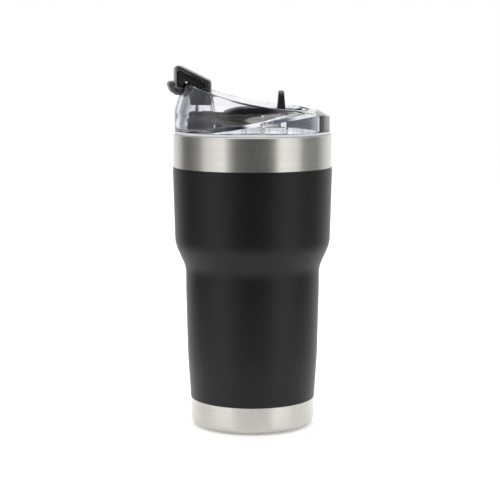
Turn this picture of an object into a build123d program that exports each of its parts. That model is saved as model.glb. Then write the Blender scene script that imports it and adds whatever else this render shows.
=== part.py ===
from build123d import *
import math
import os

os.makedirs("parts", exist_ok=True)

# Insulated travel mug: vacuum-insulated steel body, clear push-in lid, sliding
# drink gate and a flip-up latch over the pouring lip.
# Millimetres. +Z up, the mug stands on z = 0 with its axis on x = y = 0.
# The pouring lip, the front of the mug, points to -X.
# Outlines for rounded() list (radius or x, z, corner radius).

# ------------------------------------------------------------------ body sizes
rim_z = 168.0          # top of the steel rim
wall = 0.6             # steel sheet thickness
band_r = 45.0          # bare steel band under the rim
band_z = 149.35        # lower edge of that band
rim_joint_z = rim_z - 1.0   # the shell ends here, the liner's rolled lip goes on
foot_r = 35.57         # bare steel foot, fits a car cup holder
foot_z = 15.9          # upper edge of the bare foot
foot_bottom = 0.6      # underside of the shell's rolled foot
foot_corner = 4.0      # corner radius of the rolled foot
coat_t = 0.3           # powder coat thickness
coat_gap = 0.1         # bare strip between the coat and the band's lower edge
mouth_r = 41.4         # inside radius of the mouth
copper_t = 0.15        # copper layer on the back of the liner
copper_top = 162.0

# outside of the shell without its coat, up to the band
shell_line = [
    (foot_r, 16.2, 8.0),
    (37.15, 41.0, 200.0),
    (38.02, 78.0, 200.0),
    (38.05, 91.77, 17.0),
    (44.10, 105.40, 19.0),
    (45.15, 147.0, 1.5),
]
# inside of the liner
liner_line = [
    (33.20, 41.0, 200.0),
    (33.90, 78.0, 200.0),
    (34.15, 92.4, 17.0),
    (40.20, 106.0, 19.0),
    (41.00, 146.0, 20.0),
    (mouth_r, 152.0, 20.0),
]
weld_z = 20.0          # circular weld between liner tube and liner floor
weld_r = 31.97
floor_z = 8.0          # inside floor of the cup
floor_under = floor_z - wall
floor_r = 31.27        # corner between the floor and its upturned edge
floor_corner = 6.0

base_r = 30.0          # inside radius of the outer base's upturned edge
base_z = 3.0           # underside of the outer base's disc
hole_r = 1.2           # pump-out hole
pad_top = 1.8          # top of the foot pad, underside of the base cover
pad_r = 28.6
pad_grooves = (12.0, 16.5, 21.0, 25.0)         # middle radii
groove_half_w = 0.5
groove_depth = 0.45

getter_r = 4.2         # getter pellet
getter_z = 5.6
getter_h = 1.4
holder_r = 6.2         # holder's flange
holder_t = 0.4

# ------------------------------------------------------------------- lid sizes
# Heights named _h, and those in the lid's tables, are over the rim.
lid_r = 44.3           # clear lid wall, outside
lip_slope = 0.3168     # how fast the wall leans in above the shoulder
shoulder_h = 13.5
flange_t = 1.6         # flange that lands on the steel rim
seat_gap = 0.05        # lid flange over the steel rim
skirt_r = 41.0         # plug that goes into the mouth
skirt_in = 38.6
groove_r = 39.9        # gasket groove in the plug
groove_top_h, groove_bottom_h = -4.6, -9.4
gasket_gap = 0.05
gasket_r, gasket_lip_r = 40.7, 41.35

bowl_r = 37.4          # hollow under the deck
bowl_foot_r = bowl_r - 0.2                     # foot of the drinking bowl
bowl_wide = 39.4       # drinking bowl just over the deck
bowl_shift = -2.2      # that bowl is set towards the lip: thin wall at the lip,
                       # thick wall at the back
bowl_shift_h = 7.0     # top of the shifted part
bowl_top = 42.05       # drinking bowl near the shoulder, concentric again
bowl_top_h = 13.0
lip_cut_h = 36.0       # wall cutters end here, above the lip
lip_top_t = 1.75       # lip wall at that height, measured level
lip_low_h = 12.0       # foot of the latch's room round the lip
lip_low_t = 2.25       # wall allowed for there, measured level

deck_h = 7.4           # height of the sloping deck on the axis
deck_tan = 0.1673      # slope of the deck, low at the lip
deck_t = 2.0
rib_x = (6.0, 18.0)
rib_t, rib_w = 1.2, 52.0
port_x, port_w, port_l = -30.0, 6.0, 16.0      # drink port
vent_x, vent_r = 4.0, 1.1

# Slider heights named _up are over the deck.
slide_front, slide_back = -36.0, 24.0
slide_l = slide_back - slide_front
slide_x = (slide_front + slide_back) / 2
slide_corner = 5.0     # plan corners of gate, seal and slider
slide_w = 10.5         # half width of the slider
flange_w = 12.4        # half width of the gate's guide flange
flange_front = -20.0
flange_up = 1.0        # top of the guide flange
gate_up = 1.7          # top of the gate
seal_front, seal_back = -35.6, -21.0
seal_w = 10.2          # half width
rail_front, rail_back = -19.5, 28.5
rail_w, rail_up = 14.2, 2.0                    # outer half width and height
fin_x = 16.3           # thumb fin on the slider
fin_top_h = 24.4

pin_x, pin_h, pin_r = -27.0, 23.0, 1.25        # latch hinge pin
bore_gap = 0.07
bore_reach = 20.0
ear_in, ear_out = 13.3, 15.3                   # |y| of the ears' two faces
latch_w = 13.0         # half width of the latch
core_w = latch_w - 1.2
latch_corner = 1.5     # plan corners
lip_out, lip_in, lip_top = 0.6, 0.6, 0.9       # room round the lip in the latch's slot
hook_x, hook_r = -44.7, 36.0                   # hook's outer face, bowed in plan
hook_axis_x = hook_x + hook_r

reach = 60.0           # carries cutting shapes past the lid


def deck(x, above=0.0):
    """Height of the deck over z = 0 at x, plus a height above the deck."""
    return rim_z + deck_h + deck_tan * x + above


def deck_strip(x_front, x_back, low, high):
    """Side view of a strip along the deck between two heights above it."""
    return [
        (x_front, deck(x_front, low)), (x_back, deck(x_back, low)),
        (x_back, deck(x_back, high)), (x_front, deck(x_front, high)),
    ]


def deck_side(above, end_z):
    """Side view of the space from a height above the deck to a level end_z."""
    return [
        (-reach, deck(-reach, above)), (reach, deck(reach, above)),
        (reach, end_z), (-reach, end_z),
    ]


def lean(height):
    """Outside radius of the lid wall above the shoulder."""
    return lid_r - lip_slope * (height - shoulder_h)


def grow(line, distance):
    """The same outline moved outwards by distance."""
    return [(r + distance, z, corner) for r, z, corner in line]


def rounded(points, lift=0.0):
    """Closed outline through (x, y, radius) with an arc of that radius at each corner."""
    corners = [Vector(x, y + lift) for x, y, _ in points]
    bends = []  # start, middle and end of each corner's arc
    for i, corner in enumerate(corners):
        radius = points[i][2]
        to_last = (corners[i - 1] - corner).normalized()
        to_next = (corners[(i + 1) % len(corners)] - corner).normalized()
        half_angle = math.acos(max(-1.0, min(1.0, to_last.dot(to_next)))) / 2
        if radius <= 0 or half_angle > math.pi / 2 - 1e-5:
            bends.append((corner, None, corner))
            continue
        setback = radius / math.tan(half_angle)
        cut_off = radius / math.sin(half_angle) - radius
        bends.append((
            corner + to_last * setback,
            corner + (to_last + to_next).normalized() * cut_off,
            corner + to_next * setback,
        ))
    for i, (start, middle, end) in enumerate(bends):
        last_end = bends[i - 1][2]
        if (start - last_end).length > 1e-6:
            Line(last_end, start)
        if middle is not None:
            ThreePointArc(start, middle, end)


def save(builder, name):
    """Label a finished piece and write it as its own file."""
    builder.part.label = name
    export_step(builder.part, "parts/" + name + ".step")


def save_turned(name, outline, lift=0.0):
    """Revolve an outline round the mug's axis and save the piece."""
    with BuildPart() as piece:
        with BuildSketch(Plane.XZ):
            with BuildLine():
                rounded(outline, lift)
            make_face()
        revolve(axis=Axis.Z)
    save(piece, name)


# =============================================================== the steel body
# Outer shell: one drawn steel tube, foot rolled inwards, flared to the wide
# upper half, straight bare band under the rim.
outer_line = shell_line + [(band_r, band_z, 1.5), (band_r, rim_joint_z, 0)]
save_turned(
    "outer_shell",
    [(base_r + wall, foot_bottom, 0), (foot_r, foot_bottom, foot_corner)]
    + outer_line
    + grow(outer_line, -wall)[::-1]
    + [
        (foot_r - wall, foot_bottom + wall, foot_corner - wall),
        (base_r + wall, foot_bottom + wall, 0),
    ],
)

# Powder coat: a thin black skin on the shell between the two bare bands.
# Its top lies on the shell's short taper into the band.
taper_r, taper_z, _ = shell_line[-1]
coat_top_r = band_r + (taper_r - band_r) * coat_gap / (band_z - taper_z)
coat_top_z = band_z - coat_gap
save_turned(
    "powder_coat",
    [(foot_r, foot_z, 0)]
    + shell_line
    + [(coat_top_r, coat_top_z, 0), (coat_top_r + coat_t, coat_top_z, 0.15)]
    + grow(shell_line, coat_t)[::-1]
    + [(foot_r + coat_t, foot_z, 0.12)],
)

# Inner liner: steel tube whose rolled lip closes the double wall at the rim.
save_turned(
    "inner_liner",
    [(weld_r, weld_z, 0)]
    + liner_line
    + [
        (mouth_r, rim_z, 1.1),
        (band_r, rim_z, 0.55),
        (band_r, rim_joint_z, 0),
        (band_r - wall, rim_joint_z, 0),
        (band_r - wall, rim_z - wall, 0),
        (mouth_r + wall, rim_z - wall, 0.5),
    ]
    + grow(liner_line, wall)[::-1]
    + [(weld_r + wall, weld_z, 0)],
)

# Liner floor: drawn cup welded to the lower end of the liner tube.
save_turned("liner_base", [
    (0, floor_z, 0),
    (floor_r, floor_z, floor_corner),
    (weld_r, weld_z, 0),
    (weld_r + wall, weld_z, 0),
    (floor_r + wall, floor_under, floor_corner + wall),
    (0, floor_under, 0),
])

# Copper layer on the vacuum side of the liner, against radiated heat.
copper_line = grow([(weld_r, weld_z, 0)] + liner_line + [(mouth_r, copper_top, 0)], wall)
save_turned("copper_layer", copper_line + grow(copper_line, copper_t)[::-1])

# Outer base: pressed disc welded inside the rolled foot, with the pump-out hole.
save_turned("outer_base", [
    (base_r + wall, foot_bottom, 0),
    (base_r + wall, base_z + wall, 1.0),
    (hole_r, base_z + wall, 0),
    (hole_r, base_z, 0),
    (base_r, base_z, 0),
    (base_r, foot_bottom, 0),
])

# Glass solder bead that closes the pump-out hole.
save_turned("vacuum_seal", [
    (0, base_z + wall, 0),
    (hole_r, base_z + wall, 0),
    (hole_r, base_z, 0),
    (2.6, base_z, 0),
    (1.8, 2.55, 0.3),
    (0, 2.5, 0),
])

# Getter holder: small ring cup spot-welded under the liner floor.
save_turned("getter_holder", [
    (getter_r, floor_under, 0),
    (holder_r, floor_under, 0),
    (holder_r, floor_under - holder_t, 0),
    (getter_r + holder_t, floor_under - holder_t, 0.2),
    (getter_r + holder_t, getter_z - holder_t, 0.3),
    (3.4, getter_z - holder_t, 0),
    (3.4, getter_z, 0),
    (getter_r, getter_z, 0),
])

# Getter pellet that keeps the vacuum clean.
with BuildPart() as getter_pellet:
    with BuildSketch(Plane.XY.offset(getter_z)):
        Circle(getter_r)
    extrude(amount=getter_h)
save(getter_pellet, "getter_pellet")

# Base cover: thin steel dish that hides the seal bead.
save_turned("base_cover", [
    (0, pad_top + wall, 0),
    (base_r - wall, pad_top + wall, 0.3),
    (base_r - wall, base_z, 0),
    (base_r, base_z, 0),
    (base_r, pad_top, 0.4),
    (0, pad_top, 0),
])

# Foot pad: bonded silicone disc the mug stands on, with shallow grip grooves.
with BuildPart() as foot_pad:
    with BuildSketch(Plane.XZ):
        with BuildLine():
            rounded([(0, pad_top, 0), (pad_r, pad_top, 0.3), (pad_r, 0, 0.7), (0, 0, 0)])
        make_face()
    revolve(axis=Axis.Z)
    with BuildSketch(Plane.XY):
        for middle_r in pad_grooves:
            Circle(middle_r + groove_half_w)
            Circle(middle_r - groove_half_w, mode=Mode.SUBTRACT)
    extrude(amount=groove_depth, mode=Mode.SUBTRACT)
save(foot_pad, "foot_pad")

# ================================================================ the clear lid
# Skirt: flange that lands on the rim and the plug with its gasket groove.
save_turned("lid_skirt", [
    (skirt_in, flange_t, 0),
    (lid_r, flange_t, 0.15),
    (lid_r, seat_gap, 0.45),
    (skirt_r, seat_gap, 0),
    (skirt_r, groove_top_h, 0.2),
    (groove_r, groove_top_h, 0),
    (groove_r, groove_bottom_h, 0),
    (skirt_r, groove_bottom_h, 0.2),
    (skirt_r, -12.2, 0.8),
    (40.3, -13.4, 0.6),
    (skirt_in, -13.4, 0.5),
], rim_z)

# Gasket: silicone ring with two sealing lips, held in the skirt's groove.
gasket_top_h = groove_top_h - gasket_gap
gasket_bottom_h = groove_bottom_h + gasket_gap
save_turned("lid_gasket", [
    (groove_r + gasket_gap, gasket_top_h, 0),
    (gasket_r, gasket_top_h, 0.2),
    (gasket_lip_r, -5.5, 0.25),
    (gasket_r, -6.3, 0.3),
    (gasket_r, -7.4, 0.3),
    (gasket_lip_r, -8.2, 0.25),
    (gasket_r, gasket_bottom_h, 0.2),
    (groove_r + gasket_gap, gasket_bottom_h, 0),
], rim_z)

# Drinking bowl: the hollow over the deck. Its foot is a plain circle, above it
# the bowl is set towards the lip, and near the shoulder it starts to follow the wall.
with BuildPart() as bowl:
    with BuildSketch(Plane.XY.offset(rim_z - 6)):
        Circle(bowl_foot_r)
    extrude(amount=11)
    with BuildSketch(Plane.XY.offset(rim_z + 3)):
        with Locations((bowl_shift, 0)):
            Circle(bowl_wide)
    extrude(amount=bowl_shift_h - 3)
    with BuildSketch(Plane.XY.offset(rim_z + bowl_shift_h)):
        with Locations((bowl_shift, 0)):
            Circle(bowl_wide)
    with BuildSketch(Plane.XY.offset(rim_z + bowl_top_h)):
        Circle(bowl_top)
    loft()
    with BuildSketch(Plane.XZ):
        with BuildLine():
            Polyline(
                (0, rim_z + bowl_top_h),
                (bowl_top, rim_z + bowl_top_h),
                (lean(lip_cut_h) - lip_top_t, rim_z + lip_cut_h),
                (0, rim_z + lip_cut_h),
                close=True,
            )
        make_face()
    revolve(axis=Axis.Z)
    with BuildSketch(Plane.XZ):
        with BuildLine():
            Polyline(*deck_side(0, rim_z + reach), close=True)
        make_face()
    extrude(amount=reach, both=True, mode=Mode.INTERSECT)

# Hollow under the deck, open to the drink.
with BuildPart() as underside:
    with BuildSketch(Plane.XY.offset(rim_z - 8)):
        Circle(bowl_r)
    extrude(amount=40)
    with BuildSketch(Plane.XZ):
        with BuildLine():
            Polyline(*deck_side(-deck_t, rim_z - 20), close=True)
        make_face()
    extrude(amount=reach, both=True, mode=Mode.INTERSECT)

# Two cross ribs that stiffen the deck from below; their tops run into the deck.
with BuildPart() as ribs:
    with BuildSketch(Plane.XY.offset(rim_z + 0.2)):
        with Locations(*[(x, 0) for x in rib_x]):
            Rectangle(rib_t, rib_w)
    extrude(amount=14)
    with BuildSketch(Plane.XZ):
        with BuildLine():
            Polyline(*deck_side(-0.5, rim_z - 20), close=True)
        make_face()
    extrude(amount=reach, both=True, mode=Mode.INTERSECT)

# Slide rails: two low L-shaped strips bonded to the deck; they hold the gate down.
with BuildPart() as slide_rails:
    with BuildSketch(Plane.XZ):
        Polygon(*deck_strip(rail_front, rail_back, 0, rail_up), align=None)
    extrude(amount=rail_w, both=True)
    # room for the gate's flange
    with BuildSketch(Plane.XZ):
        Polygon(*deck_strip(-40, 40, -1.0, flange_up + 0.1), align=None)
    extrude(amount=flange_w + 0.2, both=True, mode=Mode.SUBTRACT)
    # room for the narrower slider above it
    with BuildSketch(Plane.XZ):
        Polygon(*deck_strip(-40, 40, 1.0, 3.0), align=None)
    extrude(amount=slide_w + 0.6, both=True, mode=Mode.SUBTRACT)
save(slide_rails, "slide_rails")

# Ears that carry the latch's hinge pin: one block with its middle cut away.
ear_foot, ear_head = 6.5, 3.1                  # half lengths along x
with BuildPart() as ears:
    with BuildSketch(Plane.XZ):
        with BuildLine():
            rounded([
                (pin_x - ear_foot, deck(pin_x - ear_foot, -0.6), 0),
                (pin_x + ear_foot, deck(pin_x + ear_foot, -0.6), 0),
                (pin_x + ear_head, rim_z + pin_h + ear_head, 3.0),
                (pin_x - ear_head, rim_z + pin_h + ear_head, 3.0),
            ])
        make_face()
    extrude(amount=ear_out, both=True)
    with BuildSketch(Plane.XZ):
        with Locations((pin_x, rim_z + 15)):
            Rectangle(30, 60)
    extrude(amount=ear_in, both=True, mode=Mode.SUBTRACT)

# Sweep of the lid's rim seen from the side: x, height over the steel rim.
sweep_line = [
    (-52.0, 34.6), (-39.2, 29.6), (-24.0, 24.2), (-13.2, 20.8), (0.0, 17.9),
    (12.8, 15.8), (25.0, 14.75), (36.0, 14.5), (50.0, 14.4),
]


def sweep_outline(end_z, lift=0.0):
    """Closed outline between the lifted rim sweep and a level end_z."""
    sweep = [(x, z + rim_z + lift) for x, z in sweep_line]
    Spline(*sweep)
    Polyline(sweep[-1], (sweep[-1][0], end_z), (sweep[0][0], end_z), sweep[0])


# Lid shell: thick clear wall with a lip that sweeps up at -X, a low bevelled
# rim at +X and the sloping deck with the drink port and vent.
with BuildPart() as lid_shell:
    with BuildSketch(Plane.XZ):
        with BuildLine():
            rounded([
                (0, -1.5, 0),
                (skirt_in, -1.5, 0),
                (skirt_in, flange_t, 0),
                (lid_r, flange_t, 0),
                (lid_r, shoulder_h, 7.0),
                (lean(34.0), 34.0, 0),
                (0, 34.0, 0),
            ], rim_z)
        make_face()
    revolve(axis=Axis.Z)
    # cut away everything above the sweep
    with BuildSketch(Plane.XZ):
        with BuildLine():
            sweep_outline(rim_z + 50)
        make_face()
    extrude(amount=reach, both=True, mode=Mode.SUBTRACT)
    # bevel round the low back of the rim, turned about an axis in front of the mug's
    with BuildSketch(Plane.XZ):
        Polygon(
            (30.0, rim_z + 17.9), (48.0, rim_z + 7.7), (48.0, rim_z + 40),
            (30.0, rim_z + 40), align=None,
        )
    revolve(axis=Axis((-30, 0, 0), (0, 0, 1)), mode=Mode.SUBTRACT)
    add(bowl.part, mode=Mode.SUBTRACT)
    add(underside.part, mode=Mode.SUBTRACT)
    add(ribs.part)
    add(ears.part)
    # drink port and vent
    with BuildSketch(Plane.XY.offset(rim_z - 6)):
        with Locations((port_x, 0)):
            SlotOverall(port_l, port_w, rotation=90)
        with Locations((vent_x, 0)):
            Circle(vent_r)
    extrude(amount=22, mode=Mode.SUBTRACT)
    # bore for the hinge pin
    with BuildSketch(Plane.XZ):
        with Locations((pin_x, rim_z + pin_h)):
            Circle(pin_r)
    extrude(amount=bore_reach, both=True, mode=Mode.SUBTRACT)
save(lid_shell, "lid_shell")

# Hinge pin of the latch.
with BuildPart() as latch_pin:
    with BuildSketch(Plane.XZ):
        with Locations((pin_x, rim_z + pin_h)):
            Circle(pin_r)
    extrude(amount=ear_out, both=True)
    chamfer(latch_pin.edges().filter_by(GeomType.CIRCLE), 0.25)
save(latch_pin, "latch_pin")

# =============================================================== the slide gate
# Gate: flat runner with a flange on each side, held under the rails.
with BuildPart() as slider_gate:
    with BuildSketch(Plane.XZ):
        Polygon(*deck_strip(flange_front, slide_back, 0.1, flange_up), align=None)
    extrude(amount=flange_w, both=True)
    with BuildSketch(Plane.XZ):
        Polygon(*deck_strip(slide_front, slide_back, flange_up, gate_up), align=None)
    extrude(amount=slide_w, both=True)
    with BuildSketch(Plane.XY.offset(rim_z - 10)):
        with Locations((slide_x, 0)):
            RectangleRounded(slide_l, 2 * flange_w, slide_corner)
    extrude(amount=50, mode=Mode.INTERSECT)
save(slider_gate, "slider_gate")

# Silicone pad under the front of the gate; it closes the drink port.
with BuildPart() as slider_seal:
    with BuildSketch(Plane.XZ):
        Polygon(*deck_strip(seal_front, seal_back, 0.05, flange_up), align=None)
    extrude(amount=seal_w, both=True)
    with BuildSketch(Plane.XY.offset(rim_z - 10)):
        with Locations(((seal_front + seal_back) / 2, 0)):
            RectangleRounded(seal_back - seal_front, 2 * seal_w, slide_corner)
    extrude(amount=50, mode=Mode.INTERSECT)
save(slider_seal, "slider_seal")

# Thumb fin: its side view crossed with its end view.
with BuildPart() as fin:
    with BuildSketch(Plane.XZ):
        with BuildLine():
            rounded([
                (fin_x - 2.6, 11.0, 0),
                (fin_x + 2.6, 11.0, 0),
                (fin_x + 1.6, fin_top_h, 0.7),
                (fin_x - 1.6, fin_top_h, 0.7),
            ], rim_z)
        make_face()
    extrude(amount=9.0, both=True)
    with BuildSketch(Plane.YZ):
        with BuildLine():
            rounded([
                (-8.4, 8.0, 0),
                (8.4, 8.0, 0),
                (7.6, fin_top_h, 3.0),
                (-7.6, fin_top_h, 3.0),
            ], rim_z)
        make_face()
    extrude(amount=40, both=True, mode=Mode.INTERSECT)

# Slider: black body that snaps on the gate, with the upright thumb fin.
with BuildPart() as slider:
    with BuildSketch(Plane.XZ):
        with BuildLine():
            rounded([
                (slide_front, deck(slide_front, gate_up) - rim_z, 0),
                (slide_back, deck(slide_back, gate_up) - rim_z, 0),
                (slide_back, 14.0, 0),
                (8.0, 14.5, 30.0),
                (-8.0, 14.3, 12.0),
                (-17.0, 12.1, 12.0),
                (slide_front, 11.7, 1.6),
            ], rim_z)
        make_face()
    extrude(amount=slide_w, both=True)
    with BuildSketch(Plane.XY.offset(rim_z - 10)):
        with Locations((slide_x, 0)):
            RectangleRounded(slide_l, 2 * slide_w, slide_corner)
    extrude(amount=50, mode=Mode.INTERSECT)
    add(fin.part)
    # keep the fin's root out of the gate below
    with BuildSketch(Plane.XZ):
        Polygon(*deck_strip(-40, 40, -6.0, gate_up), align=None)
    extrude(amount=20, both=True, mode=Mode.SUBTRACT)
save(slider, "slider")

# ==================================================================== the latch
# Room the lip needs in the latch's slot: the wall with a gap on each side.
with BuildPart() as lip_room:
    with BuildSketch(Plane.XZ):
        with BuildLine():
            Polyline(
                (lean(lip_low_h) - lip_low_t - lip_in, rim_z + lip_low_h),
                (lean(lip_low_h) + lip_out, rim_z + lip_low_h),
                (lean(lip_cut_h) + lip_out, rim_z + lip_cut_h),
                (lean(lip_cut_h) - lip_top_t - lip_in, rim_z + lip_cut_h),
                close=True,
            )
        make_face()
    revolve(axis=Axis.Z)
    with BuildSketch(Plane.XZ):
        with BuildLine():
            sweep_outline(rim_z - 10, lip_top)
        make_face()
    extrude(amount=reach, both=True, mode=Mode.INTERSECT)

# Plan shape of the latch: straight sides, bowed front.
with BuildPart() as latch_plan:
    with BuildSketch(Plane.XY.offset(rim_z)):
        with Locations((hook_axis_x, 0)):
            Circle(hook_r)
        with Locations((-35.0, 0)):
            RectangleRounded(23.6, 2 * latch_w, latch_corner, mode=Mode.INTERSECT)
    extrude(amount=reach)

# Face the strap and its core share, from the foot at the back to the hook.
strap_inside = [
    (-25.9, 16.1, 0),
    (-26.4, 28.9, 1.0),
    (-42.3, 36.7, 1.6),
    (-42.3, 26.6, 0),
]

# Latch: outer strap that hooks over the lip, with a turned-out finger edge.
with BuildPart() as latch:
    with BuildSketch(Plane.XZ):
        with BuildLine():
            rounded([
                (-23.2, 16.1, 0.8),
                (-23.6, 29.9, 1.8),
                (hook_x, 40.3, 3.0),
                (hook_x, 22.3, 0),
                (-39.2, 22.3, 0),
                (-39.2, 26.6, 0),
            ] + strap_inside[::-1], rim_z)
        make_face()
    extrude(amount=latch_w, both=True)
    add(latch_plan.part, mode=Mode.INTERSECT)
    # finger edge, turned about the axis of the bowed face
    with BuildSketch(Plane.XZ):
        with BuildLine():
            rounded([
                (hook_x + 0.3, 27.6, 0),
                (hook_x, 27.6, 0),
                (hook_x, 26.7, 0.5),
                (-45.8, 26.7, 0.5),
                (-46.2, 29.7, 0.6),
                (-48.0, 29.9, 0.7),
                (-48.8, 28.0, 1.2),
                (-46.9, 23.6, 3.0),
                (-43.4, 22.3, 1.2),
                (-40.6, 22.3, 0),
                (-40.6, 26.0, 0),
                (hook_x + 0.3, 26.0, 0),
            ], rim_z)
        make_face()
    revolve(axis=Axis((hook_axis_x, 0, 0), (0, 0, 1)))
    # trim the turned edge to the latch's width
    with BuildSketch(Plane.XY.offset(rim_z)):
        with Locations((-40.0, 0)):
            RectangleRounded(34.0, 2 * latch_w, latch_corner)
    extrude(amount=reach, mode=Mode.INTERSECT)
    add(lip_room.part, mode=Mode.SUBTRACT)
    with BuildSketch(Plane.XZ):
        with Locations((pin_x, rim_z + pin_h)):
            Circle(pin_r + bore_gap)
    extrude(amount=bore_reach, both=True, mode=Mode.SUBTRACT)
save(latch, "latch")

# Latch core: block that fills the strap and turns on the hinge pin.
with BuildPart() as latch_core:
    with BuildSketch(Plane.XZ):
        with BuildLine():
            rounded(strap_inside + [(-35.9, 26.6, 0), (-34.4, 16.1, 0.8)], rim_z)
        make_face()
    extrude(amount=core_w, both=True)
    add(latch_plan.part, mode=Mode.INTERSECT)
    with BuildSketch(Plane.XZ):
        with Locations((pin_x, rim_z + pin_h)):
            Circle(pin_r + bore_gap)
    extrude(amount=bore_reach, both=True, mode=Mode.SUBTRACT)
    add(lip_room.part, mode=Mode.SUBTRACT)
save(latch_core, "latch_core")
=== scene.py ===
"""Steel mug with a clear lid, built over its CAD pieces.

Shapes are in mm and MM turns them into metres; materials, lights and camera are in metres.
The mug stands on z = 0 with its axis on Z. The camera looks along +Y, so -Y is the front.
The lid is high at -X and low at +X; lid heights are measured from the rim plane, z = RIM.
"""
import bmesh
import bpy
import math
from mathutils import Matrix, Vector


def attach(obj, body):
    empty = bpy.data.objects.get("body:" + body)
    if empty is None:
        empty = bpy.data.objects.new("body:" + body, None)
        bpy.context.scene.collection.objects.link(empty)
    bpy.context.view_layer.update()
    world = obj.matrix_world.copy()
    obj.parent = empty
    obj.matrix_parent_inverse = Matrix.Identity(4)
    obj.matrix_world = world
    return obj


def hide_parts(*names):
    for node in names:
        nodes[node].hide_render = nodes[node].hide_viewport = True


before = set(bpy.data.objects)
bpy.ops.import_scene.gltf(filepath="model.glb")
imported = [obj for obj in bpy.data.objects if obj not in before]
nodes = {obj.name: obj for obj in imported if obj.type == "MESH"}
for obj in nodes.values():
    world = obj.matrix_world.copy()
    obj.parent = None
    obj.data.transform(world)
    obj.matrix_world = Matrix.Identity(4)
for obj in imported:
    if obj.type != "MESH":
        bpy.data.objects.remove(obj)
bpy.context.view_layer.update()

# ------------------------------------------------------------------ sizes, mm
MM = 0.001
RIM = 168.0                                # height of the rim plane
WALL = 0.6                                 # steel sheet
BAND_R, BAND_Z = 45.0, 149.35              # bare band under the rim
FOOT_R, FOOT_Z = 35.57, 15.9               # foot, and where the coat starts
COAT = 0.3
LID_R, SLOPE, SHOULDER = 44.3, 0.3168, 13.5    # lid wall: radius, inward slope above shoulder
SKIRT_R, SKIRT_IN = 41.0, 38.6
BOWL_R = 37.4                              # under the deck
BOWL_WIDE, BOWL_SHIFT, BOWL_TOP = 39.4, 2.2, 42.05
DECK_H, DECK_TAN, DECK_T = 7.4, 0.1673, 2.0    # deck: height at the axis, slope, thickness
PIN_X, PIN_H, PIN_R = -27.0, 23.0, 1.25    # cross hole in the ears


# ------------------------------------------------------------------ outlines
def outline(points, lift=0.0, steps=8, closed=True):
    """Points (x, y, corner radius) to a polyline whose corners are arcs."""
    points = [(x, y + lift, radius) for x, y, radius in points]
    count = len(points)
    line = []
    for i, (x, y, radius) in enumerate(points):
        if not closed and i in (0, count - 1):
            line.append((x, y))
            continue
        ax, ay = points[i - 1][0] - x, points[i - 1][1] - y
        bx, by = points[(i + 1) % count][0] - x, points[(i + 1) % count][1] - y
        a_len, b_len = math.hypot(ax, ay), math.hypot(bx, by)
        ax, ay, bx, by = ax / a_len, ay / a_len, bx / b_len, by / b_len
        half = math.acos(max(-1.0, min(1.0, ax * bx + ay * by))) / 2
        if radius <= 0 or half > math.pi / 2 - 1e-5:
            line.append((x, y))
            continue
        tangent = radius / math.tan(half)
        mid_x, mid_y = ax + bx, ay + by
        mid_len = math.hypot(mid_x, mid_y)
        cx = x + mid_x / mid_len * radius / math.sin(half)
        cy = y + mid_y / mid_len * radius / math.sin(half)
        start = math.atan2(y + ay * tangent - cy, x + ax * tangent - cx)
        end = math.atan2(y + by * tangent - cy, x + bx * tangent - cx)
        turn = (end - start + math.pi) % (2 * math.pi) - math.pi
        pieces = max(2, min(steps, int(abs(turn) / 0.12) + 2))
        for j in range(pieces + 1):
            angle = start + turn * j / pieces
            line.append((cx + radius * math.cos(angle), cy + radius * math.sin(angle)))
    return line


def grow(line, offset):
    return [(r + offset, z, corner) for r, z, corner in line]


def dense(points, step):
    """Adds points along long straight runs of a closed outline."""
    line = []
    for (x0, y0), (x1, y1) in zip(points, points[1:] + points[:1]):
        pieces = max(1, int(math.hypot(x1 - x0, y1 - y0) / step))
        for j in range(pieces):
            line.append((x0 + (x1 - x0) * j / pieces, y0 + (y1 - y0) * j / pieces))
    return line


def circle(cx, cy, radius, count):
    angles = [2 * math.pi * i / count for i in range(count)]
    return [(cx + radius * math.cos(a), cy + radius * math.sin(a)) for a in angles]


def interpolate(pairs, x):
    """Straight-line lookup in (x, value) pairs, held level past the ends."""
    for (x0, v0), (x1, v1) in zip(pairs, pairs[1:]):
        if x0 <= x <= x1:
            return v0 + (v1 - v0) * ((x - x0) / (x1 - x0))
    return pairs[-1][1] if x > pairs[-1][0] else pairs[0][1]


def clamp(value):
    return max(0.0, min(1.0, value))


# ------------------------------------------------------------------ meshes
def skin(rings, flip=False, loop=False):
    """Joins rings of points. The ends are capped, or joined to each other in a loop."""
    size = len(rings[0])
    verts = [point for ring in rings for point in ring]
    ids = [tuple(range(k * size, (k + 1) * size)) for k in range(len(rings))]
    faces = []
    for a, b in zip(ids, ids[1:] + ids[:1] if loop else ids[1:]):
        for i in range(size):
            j = (i + 1) % size
            faces.append((a[i], b[i], b[j], a[j]) if flip else (a[i], a[j], b[j], b[i]))
    if not loop:
        first, last = ids[0], ids[-1]
        faces += [first, last[::-1]] if flip else [first[::-1], last]
    return verts, faces


def lathe(points, segments=256):
    """Closed outline (r, z) turned about Z."""
    angles = [2 * math.pi * k / segments for k in range(segments)]
    rings = [[(r * math.cos(a), r * math.sin(a), z) for a in angles] for r, z in points]
    return skin(rings, flip=True, loop=True)


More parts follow.
